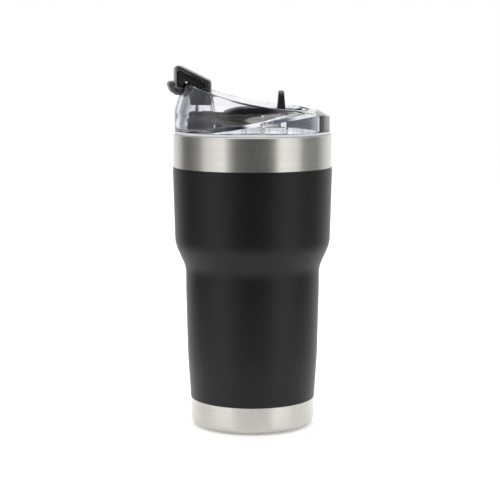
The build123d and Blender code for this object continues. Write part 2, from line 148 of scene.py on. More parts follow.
def plate(points, half, edge, steps, lift):
    """Closed outline (x, z) as a plate from -half to +half in Y, side edges rounded."""
    count = len(points)
    area = sum(points[i - 1][0] * points[i][1] - points[i][0] * points[i - 1][1]
               for i in range(count))
    sign = 1.0 if area > 0 else -1.0
    inward = []
    for i in range(count):
        (x0, z0), (x, z), (x1, z1) = points[i - 1], points[i], points[(i + 1) % count]
        ax, az = x - x0, z - z0
        bx, bz = x1 - x, z1 - z
        a_len, b_len = math.hypot(ax, az) or 1.0, math.hypot(bx, bz) or 1.0
        nx, nz = -(az / a_len + bz / b_len) * sign, (ax / a_len + bx / b_len) * sign
        n_len = math.hypot(nx, nz) or 1.0
        nx, nz = nx / n_len, nz / n_len
        mitre = max(0.5, nx * (-az / a_len) * sign + nz * (ax / a_len) * sign)
        inward.append((nx / mitre, nz / mitre))
    levels = []                            # (inset, distance from the side face)
    for k in range(steps + 1):
        a = math.pi / 2 * k / steps
        levels.append((edge * (1 - math.sin(a)), edge * (1 - math.cos(a))))
    stations = [(-1, *level) for level in levels] + [(1, *level) for level in levels[::-1]]
    return skin([[(x + nx * inset, side * (half - dist), z + nz * inset + lift)
                  for (x, z), (nx, nz) in zip(points, inward)]
                 for side, inset, dist in stations])


def mesh_from_mm(name, verts, faces):
    mesh = bpy.data.meshes.new(name)
    mesh.from_pydata([(x * MM, y * MM, z * MM) for x, y, z in verts], [], faces)
    return mesh


def link_object(name, data):
    ob = bpy.data.objects.new(name, data)
    bpy.context.scene.collection.objects.link(ob)
    return ob


def shade(mesh, sharp):
    """Smooth shading, with edges steeper than `sharp` degrees kept crisp."""
    mesh.shade_smooth()
    mesh.set_sharp_from_angle(angle=math.radians(sharp))


def add_piece(name, shape, body, mat, replaces=None, sharp=32.0):
    mesh = mesh_from_mm(name, *shape)
    mesh.validate(clean_customdata=False)
    mesh.update()
    bm = bmesh.new()
    bm.from_mesh(mesh)
    bmesh.ops.remove_doubles(bm, verts=bm.verts, dist=2e-6)
    bmesh.ops.recalc_face_normals(bm, faces=bm.faces)
    bm.to_mesh(mesh)
    bm.free()
    shade(mesh, sharp)
    ob = link_object(name, mesh)
    mesh.materials.append(mat)
    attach(ob, body)
    if replaces:
        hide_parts(replaces)
    return ob


def tidy(bm, dist):
    """Merges slivers and drops faces that hang on by themselves."""
    bmesh.ops.triangulate(bm, faces=[f for f in bm.faces if len(f.verts) > 4])
    bmesh.ops.remove_doubles(bm, verts=bm.verts, dist=dist)
    bmesh.ops.dissolve_degenerate(bm, dist=dist, edges=bm.edges)
    loose = [f for f in bm.faces if all(len(e.link_faces) != 2 for e in f.edges)]
    bmesh.ops.delete(bm, geom=loose, context="FACES")
    bmesh.ops.delete(bm, geom=[e for e in bm.edges if not e.link_faces], context="EDGES")
    bmesh.ops.delete(bm, geom=[v for v in bm.verts if not v.link_edges], context="VERTS")


# ------------------------------------------------------------------ shader helpers
def set_inputs(tree, target, values):
    """Sets each input to a value, or links it when the value is a socket."""
    for key, value in values.items():
        if isinstance(value, bpy.types.NodeSocket):
            tree.links.new(value, target.inputs[key])
        else:
            target.inputs[key].default_value = value


def add_node(tree, kind, inputs=None, **settings):
    new = tree.nodes.new("ShaderNode" + kind)
    for key, value in settings.items():
        setattr(new, key, value)
    set_inputs(tree, new, inputs or {})
    return new


def math_node(tree, operation, *values):
    return add_node(tree, "Math", dict(enumerate(values)), operation=operation).outputs[0]


def mix_colors(tree, factor, a, b):
    return add_node(tree, "Mix", {0: factor, 6: a, 7: b}, data_type="RGBA").outputs[2]


def object_coords(tree, scale=(1, 1, 1)):
    coords = add_node(tree, "TexCoord").outputs["Object"]
    return add_node(tree, "Mapping", {"Scale": scale, "Vector": coords}).outputs[0]


def noise(tree, vector, scale=1.0, detail=3.0, rough=0.5):
    return add_node(tree, "TexNoise", {
        "Scale": scale, "Detail": detail, "Roughness": rough, "Vector": vector,
    }).outputs["Fac"]


def ramp(tree, factor, stops):
    """Colour ramp over stops (position, (r, g, b))."""
    new = add_node(tree, "ValToRGB", {0: factor})
    elements = new.color_ramp.elements
    while len(elements) < len(stops):
        elements.new(0.5)
    for element, (position, color) in zip(elements, stops):
        element.position = position
        element.color = (*color, 1.0)
    return new.outputs[0]


def remap(tree, value, to, over=(0.0, 1.0)):
    """Maps the range `over` onto the range `to`."""
    return add_node(tree, "MapRange", {
        "From Min": over[0], "From Max": over[1], "To Min": to[0], "To Max": to[1],
        "Value": value,
    }).outputs[0]


def bump(tree, height, strength, distance):
    return add_node(tree, "Bump", {
        "Strength": strength, "Distance": distance, "Height": height}).outputs[0]


def new_material(name):
    mat = bpy.data.materials.new(name)
    mat.use_nodes = True
    tree = mat.node_tree
    tree.nodes.clear()
    output = add_node(tree, "OutputMaterial")
    shader = add_node(tree, "BsdfPrincipled")
    set_inputs(tree, output, {0: shader.outputs[0]})
    return mat, tree, shader


# ------------------------------------------------------------------ materials
def steel(name, color, rough, brush=True):
    """Stainless steel, brushed round the mug: fine scratches run level."""
    mat, tree, shader = new_material(name)
    fine = noise(tree, object_coords(tree, (14, 14, 2600)), detail=4.0, rough=0.6)
    coarse = noise(tree, object_coords(tree, (5, 5, 420)), rough=0.6)
    cloud = noise(tree, object_coords(tree, (40, 40, 60)))
    scratches = math_node(tree, "MULTIPLY_ADD", coarse, 0.6, fine)
    dark = [c * 0.94 for c in color]
    light = [c * 1.05 for c in color]
    set_inputs(tree, shader, {
        "Base Color": ramp(tree, scratches, [(0.45, dark), (0.8, color), (1.0, light)]),
        "Metallic": 1.0,
        "Roughness": remap(tree, cloud, to=(rough - 0.03, rough + 0.05)),
    })
    if brush:
        tangent = add_node(tree, "Tangent", direction_type="RADIAL", axis="Z")
        set_inputs(tree, shader, {
            "Anisotropic": 0.8,
            "Anisotropic Rotation": 0.25,
            "Tangent": tangent.outputs[0],
            "Normal": bump(tree, scratches, strength=0.06, distance=0.00005),
        })
    return mat


def powder_coat(name):
    """Black powder coat: fine orange peel and tiny specks."""
    mat, tree, shader = new_material(name)
    coords = object_coords(tree)
    peel = noise(tree, coords, scale=900.0, detail=2.0)
    grain = noise(tree, coords, scale=3200.0, detail=2.0, rough=0.6)
    cloud = noise(tree, coords, scale=26.0)
    height = math_node(tree, "MULTIPLY_ADD", grain, 0.5, peel)
    set_inputs(tree, shader, {
        "Base Color": ramp(tree, height, [
            (0.45, (0.0016, 0.0016, 0.0017)), (1.05, (0.0050, 0.0049, 0.0048))]),
        "Roughness": remap(tree, cloud, to=(0.37, 0.44)),
        "Specular IOR Level": 0.35,
        "Sheen Weight": 0.09,
        "Sheen Roughness": 0.30,
        "Specular Tint": (1.0, 0.955, 0.975, 1.0),
        "Normal": bump(tree, height, strength=0.35, distance=0.00010),
    })
    return mat


def plastic(name, color, rough, grain=1500.0, depth=0.00004, spec=0.5):
    """Moulded plastic with a fine texture: grain is its scale, depth its height in m."""
    mat, tree, shader = new_material(name)
    coords = object_coords(tree)
    texture = noise(tree, coords, scale=grain, rough=0.55)
    cloud = noise(tree, coords, scale=60.0)
    dark = [c * 0.8 for c in color]
    light = [c * 1.3 for c in color]
    set_inputs(tree, shader, {
        "Base Color": ramp(tree, cloud, [(0.3, dark), (0.7, light)]),
        "Roughness": remap(tree, texture, to=(rough - 0.05, rough + 0.07)),
        "Specular IOR Level": spec,
        "Normal": bump(tree, texture, strength=0.25, distance=depth),
    })
    return mat


def strap_plastic(name):
    """Glossier plastic whose edges are shaded broad and soft."""
    mat = plastic(name, BLACK_COLOR, rough=0.27, spec=0.9)
    tree = mat.node_tree
    bevel = add_node(tree, "Bevel", {"Radius": 0.0024}, samples=10)
    bump_node = next(n for n in tree.nodes if n.type == "BUMP")
    set_inputs(tree, bump_node, {"Normal": bevel.outputs[0]})
    return mat


def clear_base(name, tint, wave):
    """Clear plastic before its haze is set: faint tint, flow lines `wave` m high."""
    mat, tree, shader = new_material(name)
    flow = noise(tree, object_coords(tree, (90, 90, 30)), detail=2.0, rough=0.4)
    set_inputs(tree, shader, {
        "Base Color": ramp(tree, flow, [(0.3, tint), (0.7, (1, 1, 1))]),
        "IOR": 1.50,
        "Normal": bump(tree, flow, strength=0.12, distance=wave),
    })
    return mat, tree, shader


def clear_plastic(name, rough=0.015):
    mat, tree, shader = clear_base(name, tint=(0.975, 0.985, 1.0), wave=0.00002)
    haze = noise(tree, object_coords(tree), scale=420.0)
    set_inputs(tree, shader, {
        "Transmission Weight": 1.0,
        "Roughness": remap(tree, haze, to=(rough * 0.4, rough * 1.8), over=(0.3, 0.7)),
    })
    return mat


def skirt_plastic(name):
    """Clear skirt with a painted glow in its top: emission, seen through the lid wall, that
    stands in for light gathered there.
    """
    mat, tree, shader = clear_base(name, tint=(0.86, 0.875, 0.89), wave=0.000004)
    place = add_node(tree, "SeparateXYZ", {0: object_coords(tree)}).outputs
    painted_glow_rise = remap(tree, place["Z"], to=(0.0, 1.0), over=(0.1655, 0.1662))
    front_to_back = remap(tree, place["Y"], to=(0.10, 0.50), over=(-0.004, 0.004))
    streak_noise = noise(tree, object_coords(tree, (520, 60, 50)), rough=0.6)
    streak = remap(tree, streak_noise, to=(0.45, 1.15), over=(0.35, 0.62))
    # painted glow: pale blue emission on rays through clear plastic, stronger at the top,
    # towards the back (+Y) and in streaks
    painted_glow = add_node(tree, "LightPath").outputs["Is Transmission Ray"]
    for part in (painted_glow_rise, front_to_back, streak):
        painted_glow = math_node(tree, "MULTIPLY", painted_glow, part)
    # the plug is clearer than the flange on top of it
    flange = (0.1672, 0.1680)
    set_inputs(tree, shader, {
        "Emission Color": (0.88, 0.91, 0.97, 1.0),
        "Emission Strength": painted_glow,
        "Transmission Weight": remap(tree, place["Z"], to=(0.80, 0.30), over=flange),
        "Roughness": remap(tree, place["Z"], to=(0.05, 0.24), over=flange),
    })
    return mat


BLACK_COLOR = (0.020, 0.020, 0.021)
SLIDER_LOOK = dict(color=(0.0045, 0.0055, 0.0085), rough=0.46, spec=0.14)

STEEL = steel("brushed_steel", (0.62, 0.603, 0.558), rough=0.26)
LINER_STEEL = steel("liner_steel", (0.60, 0.59, 0.57), rough=0.32)
PIN_STEEL = steel("pin_steel", (0.6, 0.59, 0.57), rough=0.2, brush=False)
COATING = powder_coat("powder_coat_black")
BLACK = plastic("black_plastic", BLACK_COLOR, rough=0.30, spec=0.6)
STRAP = strap_plastic("strap_plastic")
SLIDER = plastic("slider_plastic", **SLIDER_LOOK)
DARK = plastic("dark_plastic", (0.014, 0.014, 0.015), rough=0.46)
CLEAR = clear_plastic("clear_plastic")
SKIRT = skirt_plastic("clear_skirt")
COPPER = steel("copper_plating", (0.78, 0.40, 0.24), rough=0.30)
PALE_SILICONE = plastic("silicone_pale", (0.62, 0.64, 0.66), rough=0.55,
                        grain=700.0, depth=0.00005, spec=0.35)
BLACK_SILICONE = plastic("silicone_black", (0.025, 0.025, 0.026), rough=0.6,
                         grain=700.0, depth=0.00006, spec=0.35)
SOLDER_GLASS = plastic("solder_glass", (0.10, 0.12, 0.11), rough=0.2,
                       grain=300.0, depth=0.00003, spec=0.6)
GETTER = plastic("getter_sinter", (0.09, 0.09, 0.095), rough=0.8,
                 grain=2500.0, depth=0.00010, spec=0.2)
GATE = plastic("gate_plastic", **SLIDER_LOOK)

# ------------------------------------------------------------------ steel body
# outlines: (r, z, corner radius)
BELLY_R, BELLY_Z = 45.15, 147.0            # widest point, just below the band
SHELL_LINE = [
    (FOOT_R, 16.2, 8.0), (37.15, 41.0, 200.0), (38.02, 78.0, 200.0),
    (38.05, 91.77, 17.0), (44.10, 105.40, 19.0), (BELLY_R, BELLY_Z, 1.5),
]
LIP_R = 41.4                               # liner at the rim
LINER_LINE = [
    (33.20, 41.0, 200.0), (33.90, 78.0, 200.0), (34.15, 92.4, 17.0),
    (40.20, 106.0, 19.0), (41.00, 146.0, 20.0), (LIP_R, 152.0, 20.0),
]
BASE_R, BASE_Z, BASE_CORNER = 30.6, 0.6, 4.0    # shell's turned-in bottom edge
LINER_BASE_R, LINER_BASE_Z = 31.97, 20.0
SEAM_Z = RIM - 1.0                         # where shell and liner meet
COAT_TOP_GAP = 0.1                         # coat stops this far below the band

outer_line = SHELL_LINE + [(BAND_R, BAND_Z, 1.5), (BAND_R, SEAM_Z, 0)]
shell = outline(
    [(BASE_R, BASE_Z, 0), (FOOT_R, BASE_Z, BASE_CORNER)]
    + outer_line + grow(outer_line, -WALL)[::-1]
    + [(FOOT_R - WALL, BASE_Z + WALL, BASE_CORNER - WALL), (BASE_R, BASE_Z + WALL, 0)],
    steps=14)
add_piece("steel_shell", lathe(dense(shell, 4.0)), "mug", STEEL, "outer_shell", 50)

coat_top_r = BAND_R + (BELLY_R - BAND_R) * COAT_TOP_GAP / (BAND_Z - BELLY_Z)
coat_top_z = BAND_Z - COAT_TOP_GAP
coat = outline(
    [(FOOT_R, FOOT_Z, 0)] + SHELL_LINE
    + [(coat_top_r, coat_top_z, 0), (coat_top_r + COAT, coat_top_z, 0.18)]
    + grow(SHELL_LINE, COAT)[::-1] + [(FOOT_R + COAT, FOOT_Z, 0.16)], steps=14)
add_piece("coat_skin", lathe(dense(coat, 4.0)), "mug", COATING, "powder_coat", 50)

liner = outline(
    [(LINER_BASE_R, LINER_BASE_Z, 0)] + LINER_LINE
    + [(LIP_R, RIM, 1.1), (BAND_R, RIM, 0.55), (BAND_R, SEAM_Z, 0),
       (BAND_R - WALL, SEAM_Z, 0), (BAND_R - WALL, RIM - WALL, 0),
       (LIP_R + WALL, RIM - WALL, 0.5)]
    + grow(LINER_LINE, WALL)[::-1] + [(LINER_BASE_R + WALL, LINER_BASE_Z, 0)], steps=12)
add_piece("liner_tube", lathe(dense(liner, 4.0)), "mug", LINER_STEEL,
          "inner_liner", 50)


# ------------------------------------------------------------------ CAD pieces kept as they are
def fill_slots(mesh, mat):
    for i in range(len(mesh.materials)):
        mesh.materials[i] = mat


for piece, mat in (
    ("liner_base", LINER_STEEL), ("copper_layer", COPPER), ("outer_base", LINER_STEEL),
    ("vacuum_seal", SOLDER_GLASS), ("getter_holder", PIN_STEEL), ("getter_pellet", GETTER),
    ("base_cover", STEEL), ("foot_pad", BLACK_SILICONE), ("latch_pin", DARK),
    ("slider_seal", BLACK_SILICONE),
):
    mesh = nodes[piece].data
    if not mesh.materials:
        mesh.materials.append(mat)
    fill_slots(mesh, mat)

# ------------------------------------------------------------------ skirt and gasket
# outlines: (r, height over the rim, corner radius)
SKIRT_LINE = [
    (SKIRT_IN, 1.55, 0), (LID_R, 1.55, 0.2), (LID_R, 0.05, 0.45), (SKIRT_R, 0.05, 0),
    (SKIRT_R, -4.6, 0.2), (39.9, -4.6, 0), (39.9, -9.4, 0), (SKIRT_R, -9.4, 0.2),
    (SKIRT_R, -12.2, 0.8), (40.3, -13.4, 0.6), (SKIRT_IN, -13.4, 0.5),
]
GASKET_LINE = [
    (39.95, -4.65, 0), (40.7, -4.65, 0.2), (41.35, -5.5, 0.25), (40.7, -6.3, 0.3),
    (40.7, -7.4, 0.3), (41.35, -8.2, 0.25), (40.7, -9.35, 0.2), (39.95, -9.35, 0),
]
skirt = dense(outline(SKIRT_LINE, RIM, steps=6), 3.0)
add_piece("clear_skirt", lathe(skirt), "lid", SKIRT, "lid_skirt")
gasket = outline(GASKET_LINE, RIM, steps=6)
add_piece("gasket_ring", lathe(gasket), "seal_ring", PALE_SILICONE, "lid_gasket")

# ------------------------------------------------------------------ lid surfaces
# top edge seen from the side: (x, height over the rim), joined by a natural cubic
SWEEP = [(-52.0, 34.6), (-39.2, 29.6), (-24.0, 24.2), (-13.2, 20.8), (0.0, 17.9),
         (12.8, 15.8), (25.0, 14.75), (36.0, 14.5), (50.0, 14.4)]
# cone that trims the sweep: axis x, radius and height of a circle on it, slope
CONE_X, CONE_R, CONE_H, CONE_SLOPE = -30.0, 74.3, 9.8, 0.5667
BLEND = 0.9                                # softness where cone and sweep meet
WALL_TOP = 40.0                            # outer wall is drawn up to here
BOWL_LOW, BOWL_HIGH, BOWL_END = 7.0, 13.0, 36.0    # heights where the bowl wall changes
LID_WALL = 1.75                            # wall thickness at BOWL_END


def natural_cubic(points):
    """Natural cubic spline through (x, y) points, as a function of x."""
    n = len(points)
    gap = [points[i + 1][0] - points[i][0] for i in range(n - 1)]
    slope = [(points[i + 1][1] - points[i][1]) / gap[i] for i in range(n - 1)]
    below, diagonal, above, target = [0.0] * n, [1.0] * n, [0.0] * n, [0.0] * n
    for i in range(1, n - 1):
        below[i], diagonal[i], above[i] = gap[i - 1], 2 * (gap[i - 1] + gap[i]), gap[i]
        target[i] = 6 * (slope[i] - slope[i - 1])
    for i in range(1, n):
        factor = below[i] / diagonal[i - 1]
        diagonal[i] -= factor * above[i - 1]
        target[i] -= factor * target[i - 1]
    bend = [0.0] * n                       # second derivative at each point
    for i in range(n - 2, 0, -1):
        bend[i] = (target[i] - above[i] * bend[i + 1]) / diagonal[i]

    def value(x):
        i = 0
        while i < n - 2 and x > points[i + 1][0]:
            i += 1
        (x0, y0), (x1, y1) = points[i], points[i + 1]
        h, past, left = gap[i], x - x0, x1 - x
        return (bend[i] * left ** 3 / (6 * h) + bend[i + 1] * past ** 3 / (6 * h)
                + (y0 / h - bend[i] * h / 6) * left + (y1 / h - bend[i + 1] * h / 6) * past)
    return value


sweep_at = natural_cubic(SWEEP)
outer_wall = outline([(LID_R, -30.0, 0), (LID_R, SHOULDER, 7.0),
                      (LID_R - SLOPE * (WALL_TOP - SHOULDER), WALL_TOP, 0)],
                     steps=14, closed=False)
outer_wall = [(z, r) for r, z in outer_wall]


def top_at(x, y):
    """Height of the lid's top surface."""
    sweep = sweep_at(x)
    cone = CONE_H + (CONE_R - math.hypot(x - CONE_X, y)) * CONE_SLOPE
    share = clamp(0.5 + 0.5 * (cone - sweep) / BLEND)
    return cone * (1 - share) + sweep * share - BLEND * share * (1 - share)


def deck_at(x):
    return DECK_H + DECK_TAN * x


def bowl_at(z, ca, sa):
    """Inside radius of the bowl at height z, in the direction (ca, sa)."""
    t = clamp((z - BOWL_LOW) / (BOWL_HIGH - BOWL_LOW))
    t = t * t * (3 - 2 * t) * 0.5 + t * 0.5
    shift = BOWL_SHIFT * (1 - t)
    radius = BOWL_WIDE + (BOWL_TOP - BOWL_WIDE) * t
    if z > BOWL_HIGH:
        end_r = LID_R - SLOPE * (BOWL_END - SHOULDER) - LID_WALL
        radius = BOWL_TOP + (end_r - BOWL_TOP) * (z - BOWL_HIGH) / (BOWL_END - BOWL_HIGH)
    return -shift * ca + math.sqrt(radius * radius - (shift * sa) ** 2)


def bisect(lo, hi, is_below):
    for _ in range(40):
        mid = (lo + hi) / 2
        if is_below(mid):
            lo = mid
        else:
            hi = mid
    return (lo + hi) / 2


# ------------------------------------------------------------------ lid shell
LID_SECTIONS = 240
LID_BASE_Z = -1.5
SEAT_Z, SEAT_BEVEL = 1.6, 0.25             # underside that sits over the skirt
WALL_START = 2.1
OUTER_STEPS, INNER_STEPS = 22, 18
ROUND = 0.45                               # rounding of the crest edges
CREST = ((0.12, 0.22), (0.45, 0.06), (1.0, 0.0))    # (share of rounding, drop)
LEDGE_Z = 3.0                              # ledge between bowl wall and deck, towards -X
FILLET = 0.5
NO_WALL = 1e-3                             # bowl shallower than this has no inner wall


def bowl_wall(ca, sa, z_top):
    """Inner wall from z_top down to the deck: points, and the radius where the deck starts."""
    def inner(z):
        return bowl_at(z, ca, sa)

    z_foot = bisect(-6.0, z_top, lambda z: z <= deck_at(inner(z) * ca))
    z_ledge = max(LEDGE_Z, z_foot)
    r_ledge = inner(z_ledge)
    r_drop = r_ledge                       # where the ledge ends and drops to the deck
    if z_foot < LEDGE_Z:
        r_drop = max(BOWL_R - 0.2, min(r_ledge, (DECK_H - LEDGE_Z) / DECK_TAN / abs(ca)))
    fillet = min(FILLET, (r_ledge - r_drop) * 0.4, max(0.0, z_top - z_ledge) * 0.5)
    line = []
    for i in range(INNER_STEPS + 1):
        z = z_top + (z_ledge + fillet - z_top) * i / INNER_STEPS
        line.append((inner(z), z))
    for degrees in (35, 70):
        a = math.radians(degrees)
        line.append((r_ledge - fillet * (1 - math.cos(a)),
                     z_ledge + fillet * (1 - math.sin(a))))
    line.append((r_ledge - fillet, z_ledge))
    z_deck = deck_at(r_drop * ca)
    height = max(0.0, z_ledge - z_deck)
    edge = min(FILLET, (r_ledge - r_drop) * 0.4, height * 0.5)
    for degrees in (0, 30, 60, 90):
        a = math.radians(degrees)
        line.append((r_drop + edge * (1 - math.sin(a)), z_ledge - edge * (1 - math.cos(a))))
    foot = min(FILLET, height * 0.4)
    line.append((r_drop, z_deck + foot))
    line.append((r_drop - foot * 0.3, z_deck + foot * 0.3))
    line.append((r_drop - foot, deck_at((r_drop - foot) * ca)))
    return line, r_drop - foot


def lid_section(angle):
    """Closed section (r, z) through the lid wall and deck, from the axis out."""
    ca, sa = math.cos(angle), math.sin(angle)

    def top(r):
        return top_at(r * ca, r * sa)

    def deck(r):
        return deck_at(r * ca)

    def outer(z):
        return interpolate(outer_wall, z)

    def inner(z):
        return bowl_at(z, ca, sa)

    def meet_top(radius):
        return bisect(-5.0, 36.0, lambda z: top(radius(z)) > z)

    z_out = meet_top(outer)
    r_out = outer(z_out)
    z_in = meet_top(inner)
    r_in = inner(z_in)
    # towards +X the deck runs out through the top surface
    if deck(r_in) > top(r_in):
        r_in = bisect(0.0, r_in, lambda r: deck(r) < top(r))
        z_in = deck(r_in)

    line = [(SKIRT_IN, LID_BASE_Z), (SKIRT_IN, SEAT_Z), (41.5, SEAT_Z),
            (LID_R - SEAT_BEVEL, SEAT_Z), (LID_R, SEAT_Z + SEAT_BEVEL)]
    for i in range(OUTER_STEPS + 1):
        z = WALL_START + (z_out - ROUND - WALL_START) * i / OUTER_STEPS
        line.append((outer(z), z))

    # rounded crest between outer and inner edge
    edge = min(ROUND, (r_out - r_in) * 0.3)
    for t, drop in CREST:
        r = r_out - edge * t
        line.append((r, top(r) - drop))
    for t in (0.25, 0.5, 0.75):
        r = (r_out - edge) + ((r_in + edge) - (r_out - edge)) * t
        line.append((r, top(r)))
    depth = z_in - deck(r_in)
    soft = clamp(depth / 1.5)
    for t, drop in CREST[::-1]:
        r = r_in + edge * t
        line.append((r, top(r) - drop * soft))

    if depth <= NO_WALL:
        # as many points as bowl_wall gives, so that all sections match
        wall, r_deck = [(r_in, z_in)] * (INNER_STEPS + 11), r_in
    else:
        wall, r_deck = bowl_wall(ca, sa, z_in - ROUND * soft)
    line += wall

    # deck, its underside and the inside of the plug
    for t in (1.0, 0.985, 0.93, 0.85, 0.7, 0.55, 0.4, 0.25, 0.12):
        line.append((r_deck * t, deck(r_deck * t)))
    line += [(0.0, DECK_H), (0.0, DECK_H - DECK_T)]
    for t in (0.12, 0.25, 0.4, 0.55, 0.7, 0.85, 0.95, 1.0):
        line.append((BOWL_R * t, deck(BOWL_R * t) - DECK_T))
    z_under = deck(BOWL_R) - DECK_T
    for t in (0.25, 0.5, 0.75):
        line.append((BOWL_R, z_under + (LID_BASE_Z - z_under) * t))
    line.append((BOWL_R, LID_BASE_Z))
    return line


def lid_ring(angle):
    return [(r * math.cos(angle), r * math.sin(angle), z + RIM)
            for r, z in lid_section(angle)]


lid_rings = [lid_ring(2 * math.pi * k / LID_SECTIONS) for k in range(LID_SECTIONS)]
lid = add_piece("clear_lid", skin(lid_rings, loop=True), "lid", CLEAR,
                "lid_shell", 38)

# ------------------------------------------------------------------ lid openings, ears and ribs
PORT_X, PORT_HALF, PORT_R = -30.0, 5.0, 3.0    # slot across the deck: place, half length, end
VENT_X, VENT_R = 4.0, 1.1
EAR_Y, EAR_HALF = 14.3, 1.0
EAR_FOOT, EAR_TOP = 6.5, 3.1               # half widths at the deck and at the top
RIB_XS, RIB_HALF, RIB_Y, RIB_BASE = (6.0, 18.0), 0.6, 26.0, 0.2
SUNK = 0.6                                 # ears and ribs reach this far below the deck top


def prism(points, z0, z1):
    n = len(points)
    verts = [(x, y, z0) for x, y in points] + [(x, y, z1) for x, y in points]
    faces = [tuple(reversed(range(n))), tuple(range(n, 2 * n))]
    faces += [(i, (i + 1) % n, n + (i + 1) % n, n + i) for i in range(n)]
    return verts, faces


def cut(ob, shape, operation="DIFFERENCE"):
    """Applies a boolean with a throwaway tool object."""
    tool_mesh = mesh_from_mm("tool", *shape)
    tool_mesh.update()
    tool = link_object("tool", tool_mesh)
    mod = ob.modifiers.new("cut", "BOOLEAN")
    mod.operation = operation
    mod.solver = "EXACT"
    mod.object = tool
    depsgraph = bpy.context.evaluated_depsgraph_get()
    mesh = bpy.data.meshes.new_from_object(ob.evaluated_get(depsgraph), depsgraph=depsgraph)
    ob.modifiers.clear()
    old = ob.data
    ob.data = mesh
    bpy.data.meshes.remove(old)
    bpy.data.objects.remove(tool)
    bpy.data.meshes.remove(tool_mesh)
    shade(mesh, 38)


def port_outline():
    points = []
    for side, start in ((1, 0.0), (-1, math.pi)):
        for i in range(13):
            a = start + math.pi * i / 12
            points.append((PORT_X + PORT_R * math.cos(a),
                           side * PORT_HALF + PORT_R * math.sin(a)))
    return points


def hinge_ear(side):
    points = outline([
        (PIN_X - EAR_FOOT, deck_at(PIN_X - EAR_FOOT) - SUNK, 0),
        (PIN_X + EAR_FOOT, deck_at(PIN_X + EAR_FOOT) - SUNK, 0),
        (PIN_X + EAR_TOP, PIN_H + EAR_TOP, 3.0),
        (PIN_X - EAR_TOP, PIN_H + EAR_TOP, 3.0)], steps=10)
    verts, faces = plate(points, EAR_HALF, edge=0.25, steps=3, lift=RIM)
    return [(x, y + side * EAR_Y, z) for x, y, z in verts], faces


def pin_hole(reach=16, n=32):
    """Cylinder along Y through both ears."""
    ring = circle(PIN_X, RIM + PIN_H, PIN_R, n)
    verts = [(x, -reach, z) for x, z in ring] + [(x, reach, z) for x, z in ring]
    faces = [tuple(range(n)), tuple(reversed(range(n, 2 * n)))]
    faces += [(i, n + i, n + (i + 1) % n, (i + 1) % n) for i in range(n)]
    return verts, faces


def cross_rib(middle):
    verts = []
    for x in (middle - RIB_HALF, middle + RIB_HALF):
        low, high = RIM + RIB_BASE, RIM + (deck_at(x) - SUNK)
        verts += [(x, -RIB_Y, low), (x, RIB_Y, low), (x, RIB_Y, high), (x, -RIB_Y, high)]
    return verts, [(0, 1, 2, 3), (7, 6, 5, 4), (0, 4, 5, 1), (1, 5, 6, 2), (2, 6, 7, 3),
                   (3, 7, 4, 0)]


cut(lid, prism(port_outline(), RIM - 6, RIM + 12))
cut(lid, prism(circle(VENT_X, 0.0, VENT_R, 24), RIM - 2, RIM + 12))
# ears and the cross ribs under the deck are one moulding with the lid
for side in (1, -1):
    cut(lid, hinge_ear(side), "UNION")
cut(lid, pin_hole())
for x in RIB_XS:
    cut(lid, cross_rib(x), "UNION")

bm = bmesh.new()
bm.from_mesh(lid.data)
tidy(bm, 1e-6)
bm.to_mesh(lid.data)
bm.free()
shade(lid.data, 38)

# ------------------------------------------------------------------ slider
SLIDER_X0, SLIDER_X1, SLIDER_HALF = -36.0, 24.0, 10.5
SLIDER_CORNER, SLIDER_EDGE = 5.0, 0.9      # corner radius in plan, rounding of the top edge
SLIDER_GAP, SLIDER_CROWN = 1.7, 0.25       # height over the deck, bulge across the top
SLIDER_STEPS = 60
# top line: (x, height over the rim, corner radius)
SLIDER_TOP = [(SLIDER_X0, 11.6, 0), (-17.0, 12.0, 12.0), (-8.0, 14.2, 12.0),
              (8.0, 14.4, 30.0), (SLIDER_X1, 13.9, 0)]


def inset(radius, distance):
    """How far a quarter round has cut in, `distance` from its end."""
    return math.sqrt(max(0.0, radius ** 2 - (radius - distance) ** 2))


def slider_ring(x, top_line):
    half, drop = SLIDER_HALF, 0.0
    for d in (x - SLIDER_X0, SLIDER_X1 - x):
        if d < SLIDER_CORNER:
            half = min(half, SLIDER_HALF - SLIDER_CORNER + inset(SLIDER_CORNER, d))
        if d < SLIDER_EDGE:
            drop = max(drop, SLIDER_EDGE - inset(SLIDER_EDGE, d))
    base, top = deck_at(x) + SLIDER_GAP, interpolate(top_line, x) - drop
    edge = min(SLIDER_EDGE, (top - base) * 0.9, half * 0.9)
    crown = min(1.0, edge / SLIDER_EDGE)
    ring = [(-half, base)]
    for k in range(7):
        a = math.pi / 2 * k / 6
        ring.append((-half + edge * (1 - math.cos(a)), top - edge + edge * math.sin(a)))
    for k in range(1, 8):
        u = -1 + 2 * k / 8
        ring.append(((half - edge) * u, top + SLIDER_CROWN * (1 - u * u) * crown))
    for k in range(7):
        a = math.pi / 2 * (1 - k / 6)
        ring.append((half - edge * (1 - math.cos(a)), top - edge + edge * math.sin(a)))
    ring.append((half, base))
    return [(x, y, z + RIM) for y, z in ring]


def slider_body():
    """Body along X: base parallel to the deck, crowned top, plan corners rounded."""
    top_line = outline(SLIDER_TOP, steps=10, closed=False)
    rings = []
    for i in range(SLIDER_STEPS + 1):
        t = 0.5 - 0.5 * math.cos(math.pi * (i / SLIDER_STEPS))
        rings.append(slider_ring(SLIDER_X0 + (SLIDER_X1 - SLIDER_X0) * t, top_line))
    return skin(rings, flip=True)


add_piece("slider_body", slider_body(), "slide", SLIDER, "slider")

# ------------------------------------------------------------------ thumb fin
FIN_X, FIN_BASE, FIN_TOP = 16.3, 11.0, 24.4
FIN_BASE_HALF, FIN_TOP_HALF = 2.6, 1.6     # half thickness in X
FIN_Y, FIN_CORNER, FIN_STATIONS = 7.9, 3.0, 25
# half width in Y: value at height FIN_WIDE_Z, and how much it loses up to the top
FIN_WIDE, FIN_WIDE_Z, FIN_TAPER = 8.4, 8.0, 0.8


